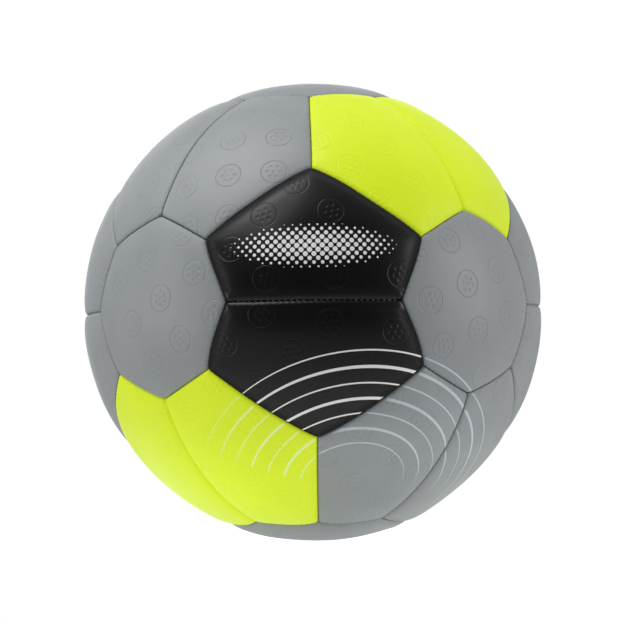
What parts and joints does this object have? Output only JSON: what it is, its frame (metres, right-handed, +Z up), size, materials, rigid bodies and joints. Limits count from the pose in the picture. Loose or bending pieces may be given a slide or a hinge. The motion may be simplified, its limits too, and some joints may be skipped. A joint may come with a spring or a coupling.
{
  "type": "handball",
  "caption": "Size 3 stitched handball: crowned octagon and pentagon panels with rolled seams over a lined cover, a bladder and a needle valve.",
  "frame": {"origin": "centre of the ball", "axes": "+Z up through the valve and the middle of the top octagon, -Y out through the middle of the dark pair of pentagons, +X to the right of someone who faces that pair"},
  "size_m": [0.1876, 0.1876, 0.1877],
  "materials": {
    "cover_grey": "soft satin synthetic leather, fine grain",
    "cover_yellow": "soft satin synthetic leather, fine grain",
    "cover_black": "soft satin synthetic leather, fine grain",
    "lining": "foam-backed cotton cloth",
    "thread": "waxed polyester",
    "latex": "smooth latex",
    "valve_rubber": "moulded butyl rubber, matt"
  },
  "bodies": {
    "root": {"pentagon_front_upper_belt": "cover_black", "pentagon_front_upper_left": "cover_grey", "pentagon_front_upper_right": "cover_yellow", "pentagon_front_lower_belt": "cover_black", "pentagon_front_lower_left": "cover_yellow", "pentagon_front_lower_right": "cover_grey", "pentagon_right_upper_belt": "cover_grey", "pentagon_right_upper_left": "cover_yellow", "pentagon_right_upper_right": "cover_grey", "pentagon_right_lower_belt": "cover_grey", "pentagon_right_lower_left": "cover_grey", "pentagon_right_lower_right": "cover_yellow", "pentagon_back_upper_belt": "cover_black", "pentagon_back_upper_left": "cover_grey", "pentagon_back_upper_right": "cover_yellow", "pentagon_back_lower_belt": "cover_black", "pentagon_back_lower_left": "cover_yellow", "pentagon_back_lower_right": "cover_grey", "pentagon_left_upper_belt": "cover_grey", "pentagon_left_upper_left": "cover_yellow", "pentagon_left_upper_right": "cover_grey", "pentagon_left_lower_belt": "cover_grey", "pentagon_left_lower_left": "cover_grey", "pentagon_left_lower_right": "cover_yellow", "octagon_top": "cover_grey", "octagon_bottom": "cover_grey", "octagon_front_right": "cover_grey", "octagon_back_right": "cover_grey", "octagon_back_left": "cover_grey", "octagon_front_left": "cover_grey", "lining_pentagons": "lining", "lining_octagons": "lining", "lining_octagon_top": "lining", "thread_mid_seams": "thread", "thread_long_seams": "thread", "thread_octagon_seams": "thread", "bladder": "latex", "valve_patch": "valve_rubber", "valve_body": "valve_rubber", "valve_core": "valve_rubber"}
  },
  "joints": []
}
